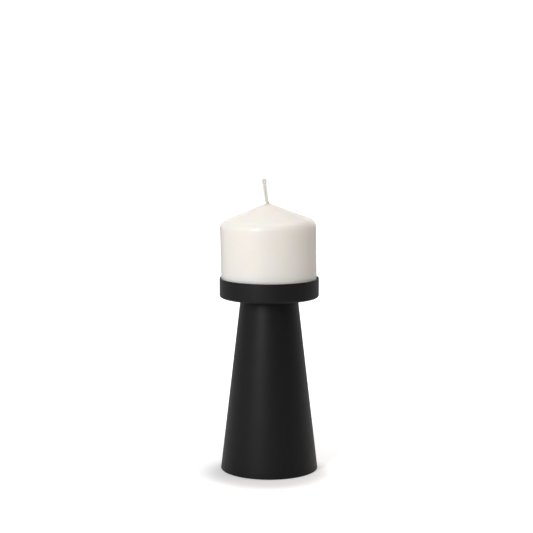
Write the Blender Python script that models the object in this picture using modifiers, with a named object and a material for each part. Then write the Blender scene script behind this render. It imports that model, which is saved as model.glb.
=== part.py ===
"""A pillar candle holder in black powder-coated steel, with a white pillar candle in its cup.

Metres, +Z up. The origin is the middle of the face that the holder stands on.
"""

import math

import bmesh
import bpy
from mathutils import Vector

# Overall sizes of the holder
RIM_HEIGHT = 0.155
CUP_RADIUS = 0.0396
CUP_HEIGHT = 0.0155
CONE_TOP_RADIUS = 0.0228  # at the cup's underside
CONE_FOOT_RADIUS = 0.0390  # where the cone's side would meet the table

# Sheet metal
SHEET = 0.0012  # thickness of the cone's sheet
CUP_SHEET = 0.0008  # thickness of the cup's sheet
GAP = 0.0003  # between pieces that touch
RIM_ROUNDING = 0.0003
CUP_CORNER = 0.0020  # outer radius of the cup's lower edge
FOOT_FOLD = 0.0004  # outer radius of the tight fold at the cone's foot
FOOT_CLEARANCE = 0.0002  # the metal foot stays this far above the table
LIP_RADIUS = 0.0345  # inner edge of the lip that the foot ends in

# Plates and pad
TOP_PLATE_RADIUS = 0.0213
TOP_PLATE_THICKNESS = 0.0030
BASE_PLATE_RADIUS = 0.0369
BASE_PLATE_THICKNESS = 0.0010
PAD_EDGE = 0.0003

# M6 countersunk screw and nut that hold the cup
SCREW_LENGTH = 0.0120
SCREW_HEAD_RADIUS = 0.0057
SCREW_HEAD_LAND = 0.0001
THREAD_CREST = 0.0029
THREAD_ROOT = 0.0025
THREAD_PITCH = 0.0010
SOCKET_FLATS = 0.0040
SOCKET_DEPTH = 0.0020
NUT_FLATS = 0.0100
NUT_HEIGHT = 0.0050
NUT_BORE = 0.0032
DIMPLE_RADIUS = 0.0065  # of the countersunk dimple in the cup's floor
DIMPLE_HOLE = 0.0033

# Candle, measured from the middle of its foot along its own axis
CANDLE_RADIUS = 0.0380
CANDLE_APEX = 0.0742  # where the sides of its conical top would meet
CANDLE_TOP_SLOPE = math.radians(21.3)
CANDLE_SHOULDER = 0.0065
CANDLE_TIP = 0.0090  # radius of the rounded tip
CANDLE_FOOT_TAPER = 0.0010
CANDLE_LEAN = math.radians(1.05)  # its foot is cut a little out of square

# Wick and the tab that anchors it
WICK_RADIUS = 0.00120
WICK_FREE_LENGTH = 0.0202
WICK_FIRST_LEAN = math.radians(3.0)
WICK_LAST_LEAN = math.radians(10.0)
WICK_POINTS = 16
TAB_RADIUS = 0.0080
TAB_SHEET = 0.0003
TAB_NECK_HEIGHT = 0.0070

ROUND_STEPS = 72
SMALL_STEPS = 32
CUT_MARGIN = 0.0010  # how far a cutter reaches past what it cuts
MERGE = 0.00001
SHARP_EDGE = math.radians(35)

CUP_UNDERSIDE = RIM_HEIGHT - CUP_HEIGHT
CUP_FLOOR = CUP_UNDERSIDE + CUP_SHEET
STEM_TOP = CUP_UNDERSIDE - GAP
CONE_SLOPE = (CONE_FOOT_RADIUS - CONE_TOP_RADIUS) / CUP_UNDERSIDE
CONE_ANGLE = math.atan(CONE_SLOPE)
BASE_PLATE_UNDERSIDE = FOOT_CLEARANCE + SHEET + GAP
CANDLE_FOOT = CUP_FLOOR + GAP
CHANNEL_RADIUS = WICK_RADIUS + GAP

BLACK = (0.012, 0.012, 0.013)
ZINC = (0.58, 0.59, 0.60)
TIN = (0.66, 0.67, 0.69)
FELT = (0.020, 0.020, 0.021)
WAX = (0.86, 0.82, 0.74)
COTTON = (0.72, 0.67, 0.55)


def clear_scene():
    for thing in list(bpy.data.objects):
        bpy.data.objects.remove(thing)


def collection(name):
    made = bpy.data.collections.new(name)
    bpy.context.scene.collection.children.link(made)
    return made


def material(name, colour, roughness, metallic=0.0):
    made = bpy.data.materials.new(name)
    made.use_nodes = True
    shader = made.node_tree.nodes["Principled BSDF"]
    shader.inputs["Base Color"].default_value = (*colour, 1.0)
    shader.inputs["Roughness"].default_value = roughness
    shader.inputs["Metallic"].default_value = metallic
    made.diffuse_color = (*colour, 1.0)
    return made


def add_object(name, mesh, group, finish=None):
    made = bpy.data.objects.new(name, mesh)
    group.objects.link(made)
    if finish:
        mesh.materials.append(finish)
    return made


def arc(centre_r, centre_z, radius, first, last, steps):
    """Points of an arc in the profile's plane. Angles are in degrees, from outward (0) to up (90)."""
    points = []
    for i in range(steps + 1):
        angle = math.radians(first + (last - first) * i / steps)
        points.append((centre_r + radius * math.cos(angle), centre_z + radius * math.sin(angle)))
    return points


def turned(name, profile, group, finish, closed, steps=ROUND_STEPS):
    """Turns a profile of (radius, height) points about Z. It runs down its outer side."""
    mesh = bpy.data.meshes.new(name)
    count = len(profile)
    edges = [(i, i + 1) for i in range(count - 1)]
    if closed:
        edges.append((count - 1, 0))
    mesh.from_pydata([(r, 0.0, z) for r, z in profile], edges, [])
    made = add_object(name, mesh, group, finish)
    screw = made.modifiers.new("turn", "SCREW")
    screw.axis = "Z"
    screw.angle = math.tau
    screw.steps = steps
    screw.render_steps = steps
    screw.use_merge_vertices = True
    screw.merge_threshold = MERGE
    screw.use_smooth_shade = True
    return made


def cut(target, cutter):
    """Takes the cutter's shape out of the target."""
    cutter.hide_render = True
    cutter.display_type = "WIRE"
    boolean = target.modifiers.new(cutter.name, "BOOLEAN")
    boolean.operation = "DIFFERENCE"
    boolean.solver = "EXACT"
    boolean.object = cutter


def prism(name, sides, across_flats, low, high, group, finish=None):
    """An upright regular prism on the Z axis, from one height to another."""
    mesh = bpy.data.meshes.new(name)
    corner_radius = across_flats / 2 / math.cos(math.pi / sides)
    shape = bmesh.new()
    bmesh.ops.create_cone(
        shape,
        cap_ends=True,
        segments=sides,
        radius1=corner_radius,
        radius2=corner_radius,
        depth=high - low,
    )
    bmesh.ops.translate(shape, verts=shape.verts, vec=(0.0, 0.0, (low + high) / 2))
    shape.to_mesh(mesh)
    shape.free()
    mesh.shade_smooth()
    mesh.set_sharp_from_angle(angle=SHARP_EDGE)
    return add_object(name, mesh, group, finish)


def dimple_line(offset):
    """Radius minus height along the cup's 45 degree dimple, moved off its upper side."""
    return DIMPLE_RADIUS - CUP_FLOOR + offset * math.sqrt(2)


def candle_cup(group):
    """Pressed dish with a rounded rim and a countersunk dimple for the screw."""
    wall = CUP_RADIUS - CUP_SHEET
    corner_r = CUP_RADIUS - CUP_CORNER
    corner_z = CUP_UNDERSIDE + CUP_CORNER
    rim_z = RIM_HEIGHT - RIM_ROUNDING
    under_dimple = dimple_line(CUP_SHEET)
    hole_edge = CUP_SHEET / math.sqrt(2)
    hole_z = DIMPLE_HOLE - dimple_line(0.0)
    profile = arc(wall + RIM_ROUNDING, rim_z, RIM_ROUNDING, 180, 90, 3)
    profile += arc(CUP_RADIUS - RIM_ROUNDING, rim_z, RIM_ROUNDING, 90, 0, 3)
    profile += arc(corner_r, corner_z, CUP_CORNER, 0, -90, 6)
    profile.append((CUP_UNDERSIDE + under_dimple, CUP_UNDERSIDE))
    profile.append((DIMPLE_HOLE + hole_edge, hole_z - hole_edge))
    profile.append((DIMPLE_HOLE, hole_z))
    profile.append((DIMPLE_RADIUS, CUP_FLOOR))
    profile += arc(corner_r, corner_z, CUP_CORNER - CUP_SHEET, -90, 0, 4)
    finish = material("candle_cup_powder_coat", BLACK, 0.5)
    return turned("candle_cup", profile, group, finish, closed=True)


def cone_radius(height):
    return CONE_FOOT_RADIUS - CONE_SLOPE * height


def stem_cone(group):
    """Sheet steel cone, open at the top, whose foot folds sharply inward into a flat lip."""
    lean = math.degrees(CONE_ANGLE)
    across = 1 / math.cos(CONE_ANGLE)
    fold_z = FOOT_CLEARANCE + FOOT_FOLD
    fold_r = cone_radius(fold_z) - FOOT_FOLD * across
    lip_top = FOOT_CLEARANCE + SHEET
    profile = [(cone_radius(STEM_TOP), STEM_TOP)]
    profile += arc(fold_r, fold_z, FOOT_FOLD, lean, -90, 5)
    profile.append((LIP_RADIUS, FOOT_CLEARANCE))
    profile.append((LIP_RADIUS, lip_top))
    profile.append((cone_radius(lip_top) - SHEET * across, lip_top))
    profile.append((cone_radius(STEM_TOP) - SHEET * across, STEM_TOP))
    finish = material("stem_cone_powder_coat", BLACK, 0.5)
    return turned("stem_cone", profile, group, finish, closed=True)


def stem_top_plate(group):
    """Disc in the cone's mouth, countersunk to take the cup's dimple."""
    low = STEM_TOP - TOP_PLATE_THICKNESS
    hole = dimple_line(CUP_SHEET + GAP)
    profile = [
        (TOP_PLATE_RADIUS, STEM_TOP),
        (TOP_PLATE_RADIUS, low),
        (low + hole, low),
        (STEM_TOP + hole, STEM_TOP),
    ]
    finish = material("stem_top_plate_steel", ZINC, 0.5, 1.0)
    return turned("stem_top_plate", profile, group, finish, closed=True)


def weld_nut(group, cutters):
    high = STEM_TOP - TOP_PLATE_THICKNESS - GAP
    low = high - NUT_HEIGHT
    finish = material("weld_nut_zinc", ZINC, 0.35, 1.0)
    nut = prism("weld_nut", 6, NUT_FLATS, low, high, group, finish)
    bore = prism(
        "nut_bore", SMALL_STEPS, 2 * NUT_BORE, low - CUT_MARGIN, high + CUT_MARGIN, cutters
    )
    cut(nut, bore)
    return nut


def cup_screw(group, cutters):
    """Countersunk screw whose head lies just under the cup's floor, with ridges for its thread."""
    head_line = dimple_line(-GAP)
    head_top = CUP_FLOOR - GAP
    head_side = SCREW_HEAD_RADIUS - head_line
    shank_top = THREAD_CREST - head_line
    tip = head_top - SCREW_LENGTH
    ridge_depth = THREAD_CREST - THREAD_ROOT
    profile = [(0.0, head_top), (SCREW_HEAD_RADIUS, head_top)]
    profile.append((SCREW_HEAD_RADIUS, min(head_side, head_top - SCREW_HEAD_LAND)))
    profile.append((THREAD_CREST, shank_top))
    ridges = int((shank_top - tip - ridge_depth) / THREAD_PITCH)
    for i in range(ridges):
        crest = shank_top - THREAD_PITCH * i
        profile.append((THREAD_CREST, crest - THREAD_PITCH / 4))
        profile.append((THREAD_ROOT, crest - THREAD_PITCH * 5 / 8))
        profile.append((THREAD_CREST, crest - THREAD_PITCH))
    profile.append((THREAD_ROOT, tip + ridge_depth))
    profile.append((THREAD_ROOT - ridge_depth, tip))
    profile.append((0.0, tip))
    finish = material("cup_screw_zinc", ZINC, 0.3, 1.0)
    screw = turned("cup_screw", profile, group, finish, closed=False, steps=SMALL_STEPS)
    socket = prism(
        "screw_socket", 6, SOCKET_FLATS, head_top - SOCKET_DEPTH, head_top + CUT_MARGIN, cutters
    )
    cut(screw, socket)
    return screw


def disc(name, radius, low, high, edge, group, finish):
    """A turned disc with small slanted edges."""
    profile = [
        (0.0, high),
        (radius - edge, high),
        (radius, high - edge),
        (radius, low + edge),
        (radius - edge, low),
        (0.0, low),
    ]
    return turned(name, profile, group, finish, closed=False)


def base_plate(group):
    """Steel disc that lies on the cone's lip and closes its foot."""
    low = BASE_PLATE_UNDERSIDE
    edge = BASE_PLATE_THICKNESS / 5
    finish = material("base_plate_steel", BLACK, 0.55)
    return disc(
        "base_plate", BASE_PLATE_RADIUS, low, low + BASE_PLATE_THICKNESS, edge, group, finish
    )


def base_pad(group):
    """Felt disc under the base plate. It fills the lip and stands lower than the metal."""
    finish = material("base_pad_felt", FELT, 0.95)
    high = BASE_PLATE_UNDERSIDE - GAP
    return disc("base_pad", LIP_RADIUS - GAP, 0.0, high, PAD_EDGE, group, finish)


def candle_axis(group):
    """The candle's own axis: it leans towards -X from the middle of the candle's foot."""
    axis = bpy.data.objects.new("candle_axis", None)
    group.objects.link(axis)
    axis.location = (0.0, 0.0, CANDLE_FOOT)
    axis.rotation_euler = (0.0, -CANDLE_LEAN, 0.0)
    return axis


def candle_wax(group, cutters, axis):
    """Turned pillar with a low conical top, a wick channel, and a recess for the wick's tab."""
    slope = math.degrees(CANDLE_TOP_SLOPE)
    tip_z = CANDLE_APEX - CANDLE_TIP / math.cos(CANDLE_TOP_SLOPE)
    channel_edge = 90 - math.degrees(math.asin(CHANNEL_RADIUS / CANDLE_TIP))
    shoulder_r = CANDLE_RADIUS - CANDLE_SHOULDER
    shoulder_z = (
        CANDLE_APEX
        - shoulder_r * math.tan(CANDLE_TOP_SLOPE)
        - CANDLE_SHOULDER / math.cos(CANDLE_TOP_SLOPE)
    )
    recess_r = TAB_RADIUS + GAP
    recess_z = TAB_SHEET + 2 * GAP
    neck_r = CHANNEL_RADIUS + TAB_SHEET + GAP
    neck_z = TAB_NECK_HEIGHT + GAP
    profile = arc(0.0, tip_z, CANDLE_TIP, channel_edge, 90 - slope, 3)
    profile += arc(shoulder_r, shoulder_z, CANDLE_SHOULDER, 90 - slope, 0, 8)
    profile.append((CANDLE_RADIUS, CANDLE_FOOT_TAPER))
    profile.append((CANDLE_RADIUS - CANDLE_FOOT_TAPER, -CUT_MARGIN))
    profile.append((recess_r, -CUT_MARGIN))
    profile.append((recess_r, recess_z))
    profile.append((neck_r, recess_z))
    profile.append((neck_r, neck_z))
    profile.append((CHANNEL_RADIUS, neck_z))
    finish = material("candle_wax", WAX, 0.4)
    wax = turned("candle_wax", profile, group, finish, closed=True)
    wax.parent = axis
    level = prism(
        "candle_foot_level", 4, 4 * CANDLE_RADIUS, CANDLE_FOOT - 4 * CUT_MARGIN, CANDLE_FOOT, cutters
    )
    cut(wax, level)
    return wax


def wick_route():
    """Up the candle's axis, then leaning more and more towards -X above the wax."""
    tip_height = CANDLE_APEX - CANDLE_TIP / math.cos(CANDLE_TOP_SLOPE) + CANDLE_TIP
    point = Vector((0.0, 0.0, tip_height))
    points = [Vector((0.0, 0.0, TAB_SHEET)), Vector((0.0, 0.0, tip_height / 2)), point]
    step = WICK_FREE_LENGTH / WICK_POINTS
    for i in range(WICK_POINTS):
        lean = WICK_FIRST_LEAN + (WICK_LAST_LEAN - WICK_FIRST_LEAN) * i / (WICK_POINTS - 1)
        point = point + step * Vector((-math.sin(lean), 0.0, math.cos(lean)))
        points.append(point)
    return points


def wick(group, axis):
    """Round cotton wick through the whole candle."""
    curve = bpy.data.curves.new("wick", "CURVE")
    curve.dimensions = "3D"
    curve.bevel_depth = WICK_RADIUS
    curve.bevel_resolution = 2
    curve.use_fill_caps = True
    route = wick_route()
    spline = curve.splines.new("POLY")
    spline.points.add(len(route) - 1)
    for point, place in zip(spline.points, route):
        point.co = (*place, 1.0)
    made = add_object("wick", curve, group, material("wick_cotton", COTTON, 0.9))
    made.parent = axis
    return made


def wick_tab(group, axis):
    """Thin metal tab with a neck crimped round the wick."""
    low = GAP
    profile = [
        (CHANNEL_RADIUS, TAB_NECK_HEIGHT),
        (CHANNEL_RADIUS + TAB_SHEET, TAB_NECK_HEIGHT),
        (CHANNEL_RADIUS + TAB_SHEET, low + TAB_SHEET),
        (TAB_RADIUS, low + TAB_SHEET),
        (TAB_RADIUS, low),
        (CHANNEL_RADIUS, low),
    ]
    finish = material("wick_tab_tin", TIN, 0.35, 1.0)
    tab = turned("wick_tab", profile, group, finish, closed=True, steps=SMALL_STEPS)
    tab.parent = axis
    return tab


def even_normals(parts):
    """Lets flat faces look flat beside the round ones they meet."""
    for part in parts:
        if part.type == "MESH":
            part.modifiers.new("even_normals", "WEIGHTED_NORMAL")


def main():
    clear_scene()
    parts = collection("pillar_candle_holder")
    cutters = collection("cutters")
    holder = [
        candle_cup(parts),
        stem_cone(parts),
        stem_top_plate(parts),
        weld_nut(parts, cutters),
        cup_screw(parts, cutters),
        base_plate(parts),
        base_pad(parts),
    ]
    axis = candle_axis(parts)
    candle = [candle_wax(parts, cutters, axis), wick(parts, axis), wick_tab(parts, axis)]
    even_normals(holder + candle)


main()
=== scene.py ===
import math
import random

import bmesh
import bpy
from mathutils import Matrix, Vector, noise


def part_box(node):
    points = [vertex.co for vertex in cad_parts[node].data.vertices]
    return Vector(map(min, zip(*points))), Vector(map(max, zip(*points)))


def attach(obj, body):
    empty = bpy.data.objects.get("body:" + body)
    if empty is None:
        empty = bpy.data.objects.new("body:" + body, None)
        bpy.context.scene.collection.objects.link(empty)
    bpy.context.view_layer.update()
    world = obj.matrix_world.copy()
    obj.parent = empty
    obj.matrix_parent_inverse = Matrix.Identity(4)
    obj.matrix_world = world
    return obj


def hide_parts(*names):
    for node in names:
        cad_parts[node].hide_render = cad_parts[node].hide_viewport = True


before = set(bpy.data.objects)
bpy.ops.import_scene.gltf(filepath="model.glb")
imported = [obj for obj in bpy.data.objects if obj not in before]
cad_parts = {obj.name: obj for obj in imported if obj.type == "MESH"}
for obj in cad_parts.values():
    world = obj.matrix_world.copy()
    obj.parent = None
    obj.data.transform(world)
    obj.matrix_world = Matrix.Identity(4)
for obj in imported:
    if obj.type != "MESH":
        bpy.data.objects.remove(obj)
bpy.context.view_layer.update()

# Camera: in front of the object and higher than the wick, looking a little down
CAMERA_DISTANCE = 1.1681
CAMERA_HEIGHT = 0.3170
CAMERA_DOWN = math.radians(7.47)
CAMERA_LEFT = math.radians(0.108)
LENS = 100.0  # mm
SENSOR = 36.0  # mm
NEAR_CLIP = 0.05
FAR_CLIP = 50.0

# Sizes of the sheet metal, shared with the solids
GAP = 0.0003  # between pieces that touch
SHEET = 0.0012  # the cone's sheet
CUP_SHEET = 0.0008
RIM_ROUNDING = 0.0003
CUP_CORNER = 0.0020  # outer radius of the cup's lower edge
FOOT_FOLD = 0.0004  # outer radius of the fold at the cone's foot
DIMPLE_RADIUS = 0.0065  # of the dimple for the screw's head
DIMPLE_HOLE = 0.0033

# Sizes of the candle along its own axis, shared with the solids
CANDLE_RADIUS = 0.0380
CANDLE_APEX = 0.0742  # where the sides of its conical top would meet
CANDLE_TOP_SLOPE = math.radians(21.3)
CANDLE_SHOULDER = 0.0065
CANDLE_TIP = 0.0090  # radius of the rounded tip
CANDLE_FOOT_TAPER = 0.0010
CANDLE_LEAN = math.radians(1.05)
COLLAR_HEIGHT = 0.0005  # wax that creeps up the wick
COLLAR_WIDTH = 0.0006
WICK_HOLE = 0.0007
TAB_RADIUS = 0.0083
TAB_RECESS = 0.0009
TAB_NECK_RADIUS = 0.0021
TAB_NECK_HEIGHT = 0.0073

# The free end of the wick, shared with the solids
WICK_FREE_LENGTH = 0.0202
WICK_FIRST_LEAN = math.radians(3.0)
WICK_LAST_LEAN = math.radians(10.0)

PAD_ROUNDING = 0.0005

# Meshes
SEGMENTS = 256  # round every turned piece
MERGE = 1e-7
SHARP_EDGE = math.radians(35)

# Places read from the frame
CUP_LOW, CUP_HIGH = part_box("candle_cup")
STEM_LOW, STEM_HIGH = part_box("stem_cone")
WAX_LOW, WAX_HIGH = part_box("candle_wax")
PAD_LOW, PAD_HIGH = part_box("base_pad")
CUP_UNDERSIDE = STEM_HIGH.z + GAP
CUP_FLOOR = WAX_LOW.z - GAP
CANDLE_PLACE = Matrix.Translation((0, 0, WAX_LOW.z)) @ Matrix.Rotation(-CANDLE_LEAN, 4, "Y")


# Camera

def make_camera():
    data = bpy.data.cameras.new("camera")
    data.lens = LENS
    data.sensor_width = SENSOR
    data.clip_start = NEAR_CLIP
    data.clip_end = FAR_CLIP
    camera = bpy.data.objects.new("camera", data)
    camera.location = (0, -CAMERA_DISTANCE, CAMERA_HEIGHT)
    camera.rotation_euler = (math.pi / 2 - CAMERA_DOWN, 0, CAMERA_LEFT)
    bpy.context.scene.collection.objects.link(camera)
    bpy.context.scene.camera = camera


# Node helpers

def new_material(name):
    made = bpy.data.materials.new(name)
    made.use_nodes = True
    tree = made.node_tree
    return made, tree, tree.nodes["Principled BSDF"]


def add(tree, kind, values=None, **settings):
    """A node with its settings and its unlinked inputs set."""
    node = tree.nodes.new(kind)
    for key, value in settings.items():
        setattr(node, key, value)
    for key, value in (values or {}).items():
        node.inputs[key].default_value = value
    return node


def place(tree):
    """The surface's place in the object's own frame, in metres."""
    return add(tree, "ShaderNodeTexCoord").outputs["Object"]


def stretched(tree, source, scale, shift=(0, 0, 0)):
    node = add(tree, "ShaderNodeMapping", {"Scale": scale, "Location": shift})
    tree.links.new(source, node.inputs["Vector"])
    return node.outputs["Vector"]


def noise_of(tree, source, size, detail=2.0, roughness=0.5, distortion=0.0):
    """Noise from 0 to 1 whose patches are about this size in metres."""
    values = {"Scale": 1 / size, "Detail": detail, "Roughness": roughness, "Distortion": distortion}
    node = add(tree, "ShaderNodeTexNoise", values)
    tree.links.new(source, node.inputs["Vector"])
    return node.outputs["Fac"]


def remap(tree, source, low, high, from_low=0.3, from_high=0.7):
    values = {"From Min": from_low, "From Max": from_high, "To Min": low, "To Max": high}
    node = add(tree, "ShaderNodeMapRange", values)
    tree.links.new(source, node.inputs["Value"])
    return node.outputs["Result"]


def ramp(tree, source, stops):
    """A colour ramp through (place, colour) stops."""
    node = add(tree, "ShaderNodeValToRGB")
    elements = node.color_ramp.elements
    while len(elements) < len(stops):
        elements.new(0.5)
    for element, (position, colour) in zip(elements, stops):
        element.position = position
        element.color = (*colour, 1.0)
    tree.links.new(source, node.inputs["Fac"])
    return node.outputs["Color"]


def math_of(tree, operation, first, second):
    node = add(tree, "ShaderNodeMath", operation=operation)
    for socket, value in zip(node.inputs, (first, second)):
        if isinstance(value, (int, float)):
            socket.default_value = value
        else:
            tree.links.new(value, socket)
    return node.outputs["Value"]


def bump(tree, height, depth, after=None):
    """Bump of this depth in metres, laid over an earlier one."""
    node = add(tree, "ShaderNodeBump", {"Strength": 1.0, "Distance": depth})
    tree.links.new(height, node.inputs["Height"])
    if after is not None:
        tree.links.new(after, node.inputs["Normal"])
    return node.outputs["Normal"]


def radius_of(tree, source):
    """Distance from the Z axis."""
    flat = stretched(tree, source, (1, 1, 0))
    node = add(tree, "ShaderNodeVectorMath", operation="LENGTH")
    tree.links.new(flat, node.inputs[0])
    return node.outputs["Value"]


def height_of(tree, source):
    node = add(tree, "ShaderNodeSeparateXYZ")
    tree.links.new(source, node.inputs["Vector"])
    return node.outputs["Z"]


# Materials

COAT_DARK = (0.0050, 0.0050, 0.0053)
COAT_LIGHT = (0.0062, 0.0062, 0.0065)
COAT_ROUGHNESS = 0.45


def powder_coat(name, dark, light, roughness):
    """Satin black powder coat: a faint orange peel, a finer grain, and uneven gloss."""
    made, tree, shader = new_material(name)
    where = place(tree)
    mottle = noise_of(tree, where, 0.012, detail=4)
    tree.links.new(ramp(tree, mottle, [(0.3, dark), (0.7, light)]), shader.inputs["Base Color"])
    gloss = noise_of(tree, where, 0.005, detail=5, roughness=0.6)
    tree.links.new(remap(tree, gloss, roughness - 0.03, roughness + 0.04), shader.inputs["Roughness"])
    peel = bump(tree, noise_of(tree, where, 0.0016, detail=1), 6e-6)
    grain = bump(tree, noise_of(tree, where, 0.00025, detail=2), 2e-6, peel)
    tree.links.new(grain, shader.inputs["Normal"])
    shader.inputs["Specular IOR Level"].default_value = 0.26
    return made


def wax():
    """White paraffin: soft gloss, faint clouds, light that sinks in, and a yellower tip."""
    made, tree, shader = new_material("wax")
    where = place(tree)
    cloud = noise_of(tree, where, 0.014, detail=5, roughness=0.6)
    body = ramp(tree, cloud, [(0.3, (0.975, 0.868, 0.812)), (0.7, (0.985, 0.882, 0.828))])
    height = height_of(tree, where)
    tip = remap(tree, height, 0.0, 1.0, WAX_HIGH.z - 0.0022, WAX_HIGH.z - 0.0002)
    mixed = add(tree, "ShaderNodeMix", data_type="RGBA")
    tree.links.new(tip, mixed.inputs["Factor"])
    tree.links.new(body, mixed.inputs["A"])
    mixed.inputs["B"].default_value = (0.90, 0.82, 0.62, 1.0)
    tree.links.new(mixed.outputs["Result"], shader.inputs["Base Color"])
    gloss = noise_of(tree, where, 0.006, detail=4, roughness=0.6)
    tree.links.new(remap(tree, gloss, 0.21, 0.25), shader.inputs["Roughness"])
    soft = bump(tree, noise_of(tree, where, 0.004, detail=2), 1.2e-5)
    fine = bump(tree, noise_of(tree, where, 0.0006, detail=3), 2e-6, soft)
    tree.links.new(fine, shader.inputs["Normal"])
    shader.inputs["IOR"].default_value = 1.44
    shader.inputs["Subsurface Weight"].default_value = 1.0
    shader.inputs["Subsurface Radius"].default_value = (1.0, 0.8, 0.65)
    shader.inputs["Subsurface Scale"].default_value = 0.010
    return made


def waxed_cotton():
    """Plaited cotton soaked in wax: twisted fibres along each strand, with painted shade darkening the
    colour in the grooves.
    """
    made, tree, shader = new_material("waxed_cotton")
    strand = add(tree, "ShaderNodeUVMap", uv_map="strand").outputs["UV"]
    fibres_and_groove_shade = noise_of(tree, stretched(tree, strand, (9, 1.2, 1)), 1.0, detail=3, distortion=0.4)
    # painted shade: the colour follows the fibre bump and is darker where it is low, in the grooves
    colour = ramp(tree, fibres_and_groove_shade, [(0.3, (0.88, 0.84, 0.74)), (0.7, (0.97, 0.95, 0.89))])
    tree.links.new(colour, shader.inputs["Base Color"])
    tree.links.new(remap(tree, fibres_and_groove_shade, 0.75, 0.6), shader.inputs["Roughness"])
    tree.links.new(bump(tree, fibres_and_groove_shade, 6e-5), shader.inputs["Normal"])
    shader.inputs["Subsurface Weight"].default_value = 0.3
    shader.inputs["Subsurface Radius"].default_value = (1.0, 0.8, 0.5)
    shader.inputs["Subsurface Scale"].default_value = 0.0006
    return made


def felt():
    """Pressed black wool felt: matted fibres with a little fuzz."""
    made, tree, shader = new_material("felt")
    where = place(tree)
    mat_fibres = noise_of(tree, where, 0.0007, detail=6, roughness=0.7, distortion=1.5)
    colour = ramp(tree, mat_fibres, [(0.3, (0.010, 0.010, 0.011)), (0.7, (0.034, 0.034, 0.036))])
    tree.links.new(colour, shader.inputs["Base Color"])
    tree.links.new(bump(tree, mat_fibres, 1.2e-4), shader.inputs["Normal"])
    shader.inputs["Roughness"].default_value = 0.95
    shader.inputs["Sheen Weight"].default_value = 0.35
    shader.inputs["Sheen Roughness"].default_value = 0.6
    return made


def plated_steel(name, dull, bright, roughness, heat=0.0):
    """Bare or plated steel: rolling marks, smudges, and a heat tint round the weld if there is one."""
    made, tree, shader = new_material(name)
    where = place(tree)
    marks = noise_of(tree, stretched(tree, where, (1, 12, 1)), 0.003, detail=4)
    colour = ramp(tree, marks, [(0.3, dull), (0.7, bright)])
    if heat:
        near = remap(tree, radius_of(tree, where), 1.0, 0.0, heat / 2, heat)
        straw, violet = (0.85, 0.66, 0.42), (0.42, 0.38, 0.52)
        tint = ramp(tree, near, [(0.0, (1, 1, 1)), (0.45, straw), (0.8, violet)])
        mixed = add(tree, "ShaderNodeMix", data_type="RGBA", blend_type="MULTIPLY")
        mixed.inputs["Factor"].default_value = 1.0
        tree.links.new(colour, mixed.inputs["A"])
        tree.links.new(tint, mixed.inputs["B"])
        colour = mixed.outputs["Result"]
    tree.links.new(colour, shader.inputs["Base Color"])
    smudge = noise_of(tree, where, 0.004, detail=5, roughness=0.65)
    tree.links.new(remap(tree, smudge, roughness, roughness + 0.18), shader.inputs["Roughness"])
    tree.links.new(bump(tree, marks, 8e-6), shader.inputs["Normal"])
    shader.inputs["Metallic"].default_value = 1.0
    return made


def dress(thing, finish):
    """Gives a piece or a CAD node its material."""
    thing.data.materials.clear()
    thing.data.materials.append(finish)


# Shapes

def arc(centre_r, centre_z, radius, first, last, steps):
    """Points of an arc. Angles are in degrees, from outward (0) to up (90)."""
    points = []
    for i in range(steps + 1):
        angle = math.radians(first + (last - first) * i / steps)
        points.append((centre_r + radius * math.cos(angle), centre_z + radius * math.sin(angle)))
    return points


def resampled(profile, spacing):
    """The same outline with a point at least this often."""
    points = []
    for (r, z), (next_r, next_z) in zip(profile, profile[1:]):
        count = max(1, round(math.hypot(next_r - r, next_z - z) / spacing))
        points += [(r + (next_r - r) * i / count, z + (next_z - z) * i / count) for i in range(count)]
    return points + [profile[-1]]


def add_piece(name, shape, body):
    """Makes a bmesh a piece that rides on a body."""
    mesh = bpy.data.meshes.new(name)
    bmesh.ops.recalc_face_normals(shape, faces=shape.faces)
    shape.to_mesh(mesh)
    shape.free()
    mesh.shade_smooth()
    mesh.set_sharp_from_angle(angle=SHARP_EDGE)
    made = bpy.data.objects.new(name, mesh)
    bpy.context.scene.collection.objects.link(made)
    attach(made, body)
    return made


def lathe(profile, closed):
    """A bmesh turned about Z from (radius, height) points."""
    shape = bmesh.new()
    verts = [shape.verts.new((r, 0, z)) for r, z in profile]
    pairs = list(zip(verts, verts[1:]))
    if closed:
        pairs.append((verts[-1], verts[0]))
    edges = [shape.edges.new(pair) for pair in pairs]
    bmesh.ops.spin(
        shape,
        geom=verts + edges,
        angle=math.tau,
        steps=SEGMENTS,
        axis=(0, 0, 1),
        cent=(0, 0, 0),
        use_merge=True,
    )
    bmesh.ops.remove_doubles(shape, verts=shape.verts, dist=MERGE)
    return shape


def roughen(shape, size, depth, start=None):
    """Moves each vertex along its normal by smooth noise, which may start some way up."""
    shape.normal_update()
    moves = []
    for vert in shape.verts:
        share = 1.0 if start is None else min(1.0, max(0.0, vert.co.z / start - 1))
        moves.append(vert.normal * noise.noise(vert.co / size) * depth * share)
    for vert, move in zip(shape.verts, moves):
        vert.co += move


def keep_above(shape, height):
    """Flattens whatever reaches below this height."""
    for vert in shape.verts:
        vert.co.z = max(vert.co.z, height)


def cad_radius(node, height):
    """Largest radius of a CAD node's own points at one height."""
    points = [v.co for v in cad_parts[node].data.vertices]
    return max(math.hypot(p.x, p.y) for p in points if abs(p.z - height) < GAP / 2)


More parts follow.
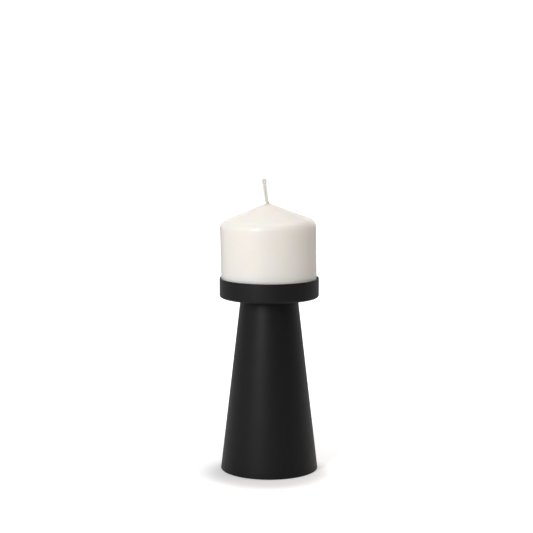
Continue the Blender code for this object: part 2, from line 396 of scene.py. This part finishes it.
def cup_shell():
    """Pressed dish with a rounded rim, a rounded lower corner and the screw's 90 degree dimple."""
    outer = CUP_HIGH.x
    wall = outer - CUP_SHEET
    corner_r = outer - CUP_CORNER
    corner_z = CUP_UNDERSIDE + CUP_CORNER
    rim_z = CUP_HIGH.z - RIM_ROUNDING
    line = DIMPLE_RADIUS - CUP_FLOOR  # radius less height, all down the dimple's inner side
    hole_edge = CUP_SHEET / math.sqrt(2)
    hole_z = DIMPLE_HOLE - line
    profile = arc(wall + RIM_ROUNDING, rim_z, RIM_ROUNDING, 180, 90, 8)
    profile += arc(outer - RIM_ROUNDING, rim_z, RIM_ROUNDING, 90, 0, 8)
    profile += arc(corner_r, corner_z, CUP_CORNER, 0, -90, 16)
    profile.append((CUP_UNDERSIDE + line + CUP_SHEET * math.sqrt(2), CUP_UNDERSIDE))
    profile.append((DIMPLE_HOLE + hole_edge, hole_z - hole_edge))
    profile.append((DIMPLE_HOLE, hole_z))
    profile.append((DIMPLE_RADIUS, CUP_FLOOR))
    profile += arc(corner_r, corner_z, CUP_CORNER - CUP_SHEET, -90, 0, 10)
    shape = lathe(resampled(profile, 0.003), closed=True)
    made = add_piece("cup_shell", shape, "holder")
    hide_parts("candle_cup")
    return made


def cone_shell():
    """Straight sheet cone, tangent to the fold at its foot, with a lip that holds the base plate."""
    top_r, top_z = cad_radius("stem_cone", STEM_HIGH.z), STEM_HIGH.z
    fold_r, fold_z = STEM_HIGH.x - FOOT_FOLD, STEM_LOW.z + FOOT_FOLD
    away = math.hypot(top_r - fold_r, top_z - fold_z)
    lean = math.atan2(fold_r - top_r, top_z - fold_z) + math.asin(FOOT_FOLD / away)
    lip = PAD_HIGH.x + GAP
    lip_top = STEM_LOW.z + SHEET
    inside = top_r - SHEET / math.cos(lean)
    profile = [(top_r, top_z)]
    profile += arc(fold_r, fold_z, FOOT_FOLD, math.degrees(lean), -90, 10)
    profile.append((lip, STEM_LOW.z))
    profile.append((lip, lip_top))
    profile.append((inside + (top_z - lip_top) * math.tan(lean), lip_top))
    profile.append((inside, top_z))
    shape = lathe(resampled(profile, 0.004), closed=True)
    made = add_piece("cone_shell", shape, "holder")
    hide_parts("stem_cone")
    return made


def felt_pad():
    """Felt disc with a soft, slightly ragged edge."""
    edge = PAD_ROUNDING
    high, low, radius = PAD_HIGH.z, PAD_LOW.z, PAD_HIGH.x
    profile = [(0, high)]
    profile += arc(radius - edge, high - edge, edge, 90, 0, 5)
    profile += arc(radius - edge, low + edge, edge, 0, -90, 5)
    profile.append((0, low))
    shape = lathe(resampled(profile, 0.0012), closed=False)
    roughen(shape, 0.0012, 0.00006)
    keep_above(shape, low)
    made = add_piece("felt_pad", shape, "holder")
    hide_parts("base_pad")
    return made


def wax_profile():
    """The candle's outline in its own frame: collar, cone, shoulder, wall, foot and tab recess."""
    slope = math.degrees(CANDLE_TOP_SLOPE)
    tip_z = CANDLE_APEX - CANDLE_TIP / math.cos(CANDLE_TOP_SLOPE)
    shoulder_r = CANDLE_RADIUS - CANDLE_SHOULDER
    shoulder_z = (
        CANDLE_APEX
        - shoulder_r * math.tan(CANDLE_TOP_SLOPE)
        - CANDLE_SHOULDER / math.cos(CANDLE_TOP_SLOPE)
    )
    first = 90 - math.degrees(math.asin(WICK_HOLE / CANDLE_TIP))
    profile = []
    for r, z in arc(0, tip_z, CANDLE_TIP, first, 90 - slope, 16):
        profile.append((r, z + COLLAR_HEIGHT * math.exp((WICK_HOLE - r) / COLLAR_WIDTH)))
    profile += arc(shoulder_r, shoulder_z, CANDLE_SHOULDER, 90 - slope, 0, 24)
    profile.append((CANDLE_RADIUS, CANDLE_FOOT_TAPER))
    profile.append((CANDLE_RADIUS - CANDLE_FOOT_TAPER, -CANDLE_FOOT_TAPER))
    profile.append((TAB_RADIUS, -CANDLE_FOOT_TAPER))
    profile.append((TAB_RADIUS, TAB_RECESS))
    profile.append((TAB_NECK_RADIUS, TAB_RECESS))
    profile.append((TAB_NECK_RADIUS, TAB_NECK_HEIGHT))
    profile.append((WICK_HOLE, TAB_NECK_HEIGHT))
    return profile


def pillar():
    """The candle: turned, faintly uneven as poured wax is, leaning, with its foot cut level."""
    shape = lathe(resampled(wax_profile(), 0.0013), closed=True)
    above_rim = CUP_HIGH.z - WAX_LOW.z
    roughen(shape, 0.022, 0.00016, above_rim)
    roughen(shape, 0.006, 0.00003, above_rim)
    bmesh.ops.transform(shape, matrix=CANDLE_PLACE, verts=shape.verts)
    keep_above(shape, WAX_LOW.z)
    made = add_piece("pillar", shape, "candle")
    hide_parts("candle_wax")
    return made


# Wick: strands of twisted yarns, plaited flat, which loosen towards the cut end

WICK_STEP = 0.00028  # between the route's points
HIDDEN_STEP = 0.0014  # the same inside the candle
WICK_BOW = 0.0007  # what the free end is shifted to the left, besides its lean
BOW_STEPS = 7  # the shift grows over this many of the route's points
WICK_WAVER = 0.0002
WAVER_LENGTH = 0.006
WAVER_SEED = 1794823377  # without a seed, noise_vector takes its own from the clock
PLAIT_PITCH = 0.0056
PLAIT_WIDTH = 0.00103
PLAIT_DEPTH = 0.00034
PLAIT_TURN = math.radians(20)
# For each strand, how much shorter than the wick it is, and how far its end bends to the right
STRANDS = ((0.0007, -0.0020), (0.0014, -0.0006), (0.0009, 0.0022))
YARNS = 4  # in each strand
YARN_RADIUS = 0.00035
YARN_ORBIT = 0.00036  # from the strand's middle to the yarn's
YARN_TWIST = 0.0034
YARN_SIDES = 8
YARN_RAGGED = 0.0006
FRAY_LENGTH = 0.0048
FRAY_POWER = 1.5
YARN_SPREAD = 1.1  # share that the yarns' orbit gains at the very end
PLAIT_SPREAD = 0.3  # share that the plait's width gains there
YARN_THINNING = 0.25  # share that a yarn's radius loses there
FIBRES = 7  # loose at the end of each yarn
FIBRE_RADIUS = 0.000045
FIBRE_THINNING = 0.6
FIBRE_LENGTHS = (0.0008, 0.0017)
FIBRE_BENDS = (0.1, 0.6)
FIBRE_ROOT = 0.0007  # this far inside the yarn
FIBRE_SIDES = 5
FIBRE_STEPS = 6


def wick_route():
    """Points up the candle's axis and out of its tip, in its frame, each with the way left to go."""
    noise.seed_set(WAVER_SEED)
    tip_height = CANDLE_APEX - CANDLE_TIP / math.cos(CANDLE_TOP_SLOPE) + CANDLE_TIP
    points = []
    height = GAP
    while height < tip_height - HIDDEN_STEP:
        points.append((Vector((0, 0, height)), tip_height - height + WICK_FREE_LENGTH))
        height += HIDDEN_STEP
    point = Vector((0, 0, height))
    while point.z < tip_height:
        points.append((point.copy(), tip_height - point.z + WICK_FREE_LENGTH))
        point.z += WICK_STEP
    count = round(WICK_FREE_LENGTH / WICK_STEP)
    for i in range(count + 1):
        lean = WICK_FIRST_LEAN + (WICK_LAST_LEAN - WICK_FIRST_LEAN) * i / count
        point = point + WICK_STEP * Vector((-math.sin(lean), 0, math.cos(lean)))
        waver = noise.noise_vector((0, 0, point.z / WAVER_LENGTH)) * WICK_WAVER
        shift = Vector((waver.x - WICK_BOW, waver.y, 0)) * min(1, i / BOW_STEPS)
        points.append((point + shift, WICK_FREE_LENGTH - i * WICK_STEP))
    return points


def tube(shape, centres, radii, sides, uv):
    """A closed tube through centres. Its UV runs round it in u and along it, in yarn radii, in v."""
    rings = []
    for i, (centre, radius) in enumerate(zip(centres, radii)):
        ahead = centres[min(i + 1, len(centres) - 1)] - centres[max(i - 1, 0)]
        turn = Vector((0, 0, 1)).rotation_difference(ahead).to_matrix()
        ring = []
        for k in range(sides):
            angle = math.tau * k / sides
            spoke = turn @ Vector((math.cos(angle), math.sin(angle), 0))
            ring.append(shape.verts.new(centre + spoke * radius))
        rings.append(ring)
    along = 0.0
    for i in range(len(rings) - 1):
        step = (centres[i + 1] - centres[i]).length / YARN_RADIUS
        for k in range(sides):
            after = (k + 1) % sides
            corners = (rings[i][k], rings[i][after], rings[i + 1][after], rings[i + 1][k])
            spots = ((k, along), (k + 1, along), (k + 1, along + step), (k, along + step))
            for loop, (u, v) in zip(shape.faces.new(corners).loops, spots):
                loop[uv].uv = (u / sides, v)
        along += step
    shape.faces.new(list(reversed(rings[0])))
    shape.faces.new(rings[-1])


def yarn_path(route, strand, yarn, stop, flick):
    """Centres and radii of a yarn, which twists round its strand as the strand winds with the others."""
    side = Vector((math.cos(PLAIT_TURN), math.sin(PLAIT_TURN), 0))
    across = Vector((-side.y, side.x, 0))
    centres, radii = [], []
    for point, left in route:
        if left < stop:
            break
        phase = math.tau * (left / PLAIT_PITCH + strand / len(STRANDS))
        plait = side * PLAIT_WIDTH * math.sin(phase) + across * PLAIT_DEPTH * math.sin(2 * phase)
        twist = math.tau * (left / YARN_TWIST + yarn / YARNS)
        orbit = side * math.cos(twist) + across * math.sin(twist)
        loose = max(0.0, 1 - left / FRAY_LENGTH) ** FRAY_POWER
        spread = orbit * YARN_ORBIT * (1 + YARN_SPREAD * loose)
        bend = Vector((flick * loose, 0, 0))
        centres.append(point + plait * (1 + PLAIT_SPREAD * loose) + spread + bend)
        radii.append(YARN_RADIUS * (1 - YARN_THINNING * loose))
    return centres, radii


def frayed_end(shape, centre, ahead, chance, uv):
    """Loose fibres that stick out of a yarn's cut end."""
    for _ in range(FIBRES):
        spread = Vector([chance.uniform(-1, 1) for _ in range(3)])
        start = centre - ahead * FIBRE_ROOT + spread * YARN_RADIUS / 2
        length = chance.uniform(*FIBRE_LENGTHS)
        bend = spread * chance.uniform(*FIBRE_BENDS)
        points, radii = [], []
        for i in range(FIBRE_STEPS + 1):
            share = i / FIBRE_STEPS
            points.append(start + (ahead + bend * share) * length * share)
            radii.append(FIBRE_RADIUS * (1 - FIBRE_THINNING * share))
        tube(shape, points, radii, FIBRE_SIDES, uv)


def plaited_wick():
    """The whole wick: every yarn of every strand, frayed where it was cut."""
    route = wick_route()
    shape = bmesh.new()
    uv = shape.loops.layers.uv.new("strand")
    chance = random.Random(7)
    for strand, (stop, flick) in enumerate(STRANDS):
        for yarn in range(YARNS):
            ragged = chance.uniform(0, YARN_RAGGED)
            centres, radii = yarn_path(route, strand, yarn, stop + ragged, flick)
            ahead = (centres[-1] - centres[-3]).normalized()
            tube(shape, centres, radii, YARN_SIDES, uv)
            frayed_end(shape, centres[-1], ahead, chance, uv)
    bmesh.ops.transform(shape, matrix=CANDLE_PLACE, verts=shape.verts)
    made = add_piece("plaited_wick", shape, "candle")
    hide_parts("wick")
    return made


# Studio

FLOOR_SIZE = 12.0
FLOOR_ALBEDO = 0.80
FLOOR_GLOW_PAINTED_SHADOW = ((0.037, 0.21), (0.058, 0.49), (0.400, 1.0))  # distance and strength; the glow is weaker near the object, a painted shadow round its foot
PAINTED_SHADOW_SHIFT = (0.002, 0.0155, 0)  # the distance is from this far left and front of the origin, which is the centre of the painted shadow
BACKDROP = 1.05  # the white that the camera sees
SURROUND = 0.088  # the white that lights the object, everywhere
SURROUND_BEHIND = 1.03  # and what it gains straight behind
LIGHT_TARGET = Vector((0, 0, 0.13))
LIGHT_DISTANCE = 1.3
WHITE = (1.0, 1.0, 1.0)
# Name, azimuth and elevation in degrees, width, height, watts, colour
SOFTBOXES = (
    ("key", 30, 23, 0.35, 0.5, 9.1, (0.99, 0.985, 1.0)),
    ("left_panel", 75, 20, 0.6, 0.8, 1.0, WHITE),
    ("right_top", -90, 52, 0.6, 0.8, 2.3, (1.0, 0.86, 0.72)),
    ("overhead", -90, 79, 0.3, 0.8, 2.9, WHITE),
    ("front_top", -20, 61, 0.42, 0.09, 1.4, WHITE),
    ("back_top", 180, 60, 0.6, 0.8, 0.6, WHITE),
)


def softbox(name, azimuth, elevation, width, height, power, colour):
    """A soft area light facing the object. Azimuth 0 is the camera's side, and it grows to the left."""
    data = bpy.data.lights.new(name, "AREA")
    data.shape = "RECTANGLE"
    data.size = width
    data.size_y = height
    data.energy = power
    data.color = colour
    lamp = bpy.data.objects.new(name, data)
    a, e = math.radians(azimuth), math.radians(elevation)
    away = Vector((-math.sin(a) * math.cos(e), -math.cos(a) * math.cos(e), math.sin(e)))
    lamp.location = LIGHT_TARGET + away * LIGHT_DISTANCE
    lamp.rotation_euler = (-away).to_track_quat("-Z", "Y").to_euler()
    lamp.visible_camera = False
    bpy.context.scene.collection.objects.link(lamp)


def make_floor():
    """A plain white floor. It glows for the camera only, and less near the object, which paints a shadow
    round its foot on top of the floor's real shading.
    """
    bpy.ops.mesh.primitive_plane_add(size=FLOOR_SIZE)
    floor = bpy.context.object
    floor.name = "floor"
    made, tree, shader = new_material("floor_white_painted_shadow")
    shader.inputs["Base Color"].default_value = (FLOOR_ALBEDO, FLOOR_ALBEDO, FLOOR_ALBEDO, 1)
    shader.inputs["Roughness"].default_value = 1.0
    shader.inputs["Specular IOR Level"].default_value = 0.0
    shader.inputs["Emission Color"].default_value = (*WHITE, 1)
    away = radius_of(tree, stretched(tree, place(tree), (1, 1, 1), PAINTED_SHADOW_SHIFT))
    shadowed_glow = FLOOR_GLOW_PAINTED_SHADOW[0][1]
    # painted shadow: the camera's glow rises from low next to the object to full white further out
    for (near, low), (far, high) in zip(FLOOR_GLOW_PAINTED_SHADOW, FLOOR_GLOW_PAINTED_SHADOW[1:]):
        rise = add(tree, "ShaderNodeMapRange", interpolation_type="SMOOTHSTEP")
        rise.inputs["From Min"].default_value = near
        rise.inputs["From Max"].default_value = far
        rise.inputs["To Max"].default_value = high - low
        tree.links.new(away, rise.inputs["Value"])
        shadowed_glow = math_of(tree, "ADD", rise.outputs["Result"], shadowed_glow)
    seen = add(tree, "ShaderNodeLightPath").outputs["Is Camera Ray"]
    tree.links.new(math_of(tree, "MULTIPLY", shadowed_glow, seen), shader.inputs["Emission Strength"])
    floor.data.materials.append(made)


def make_world():
    """White for the camera. What lights the object is brightest behind it, like a lit backdrop."""
    world = bpy.data.worlds.new("studio")
    bpy.context.scene.world = world
    world.use_nodes = True
    tree = world.node_tree
    tree.nodes.clear()
    parts = add(tree, "ShaderNodeSeparateXYZ")
    tree.links.new(add(tree, "ShaderNodeTexCoord").outputs["Generated"], parts.inputs["Vector"])
    behind = math_of(tree, "MAXIMUM", parts.outputs["Y"], 0.0)
    light = math_of(tree, "MULTIPLY_ADD", behind, SURROUND_BEHIND)
    light.node.inputs[2].default_value = SURROUND
    white = (*WHITE, 1)
    surround = add(tree, "ShaderNodeBackground", {"Color": white})
    tree.links.new(light, surround.inputs["Strength"])
    seen = add(tree, "ShaderNodeBackground", {"Color": white, "Strength": BACKDROP})
    chosen = add(tree, "ShaderNodeMixShader")
    tree.links.new(add(tree, "ShaderNodeLightPath").outputs["Is Camera Ray"], chosen.inputs["Fac"])
    tree.links.new(surround.outputs["Background"], chosen.inputs[1])
    tree.links.new(seen.outputs["Background"], chosen.inputs[2])
    out = add(tree, "ShaderNodeOutputWorld")
    tree.links.new(chosen.outputs["Shader"], out.inputs["Surface"])


def make_studio():
    bpy.context.scene.view_settings.view_transform = "Standard"
    make_world()
    make_floor()
    for values in SOFTBOXES:
        softbox(*values)


def dress_carried_nodes():
    """Materials for the CAD nodes that are shown as they are."""
    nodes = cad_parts
    dark, light = (0.009, 0.009, 0.009), (0.013, 0.013, 0.013)
    dress(nodes["base_plate"], powder_coat("plate_powder_coat", dark, light, 0.55))
    dull, bright = (0.30, 0.30, 0.31), (0.46, 0.46, 0.47)
    dress(nodes["stem_top_plate"], plated_steel("plate_steel", dull, bright, 0.35, heat=0.012))
    dull, bright = (0.50, 0.51, 0.53), (0.64, 0.65, 0.66)
    dress(nodes["weld_nut"], plated_steel("nut_zinc", dull, bright, 0.28))
    dull, bright = (0.50, 0.51, 0.54), (0.66, 0.67, 0.69)
    dress(nodes["cup_screw"], plated_steel("screw_zinc", dull, bright, 0.25))
    dull, bright = (0.60, 0.60, 0.61), (0.74, 0.74, 0.75)
    dress(nodes["wick_tab"], plated_steel("tab_tin", dull, bright, 0.25))


make_camera()
make_studio()

dress(cup_shell(), powder_coat("cup_powder_coat", COAT_DARK, COAT_LIGHT, COAT_ROUGHNESS))
dress(cone_shell(), powder_coat("cone_powder_coat", COAT_DARK, COAT_LIGHT, COAT_ROUGHNESS))
dress(felt_pad(), felt())
dress(pillar(), wax())
dress(plaited_wick(), waxed_cotton())
dress_carried_nodes()
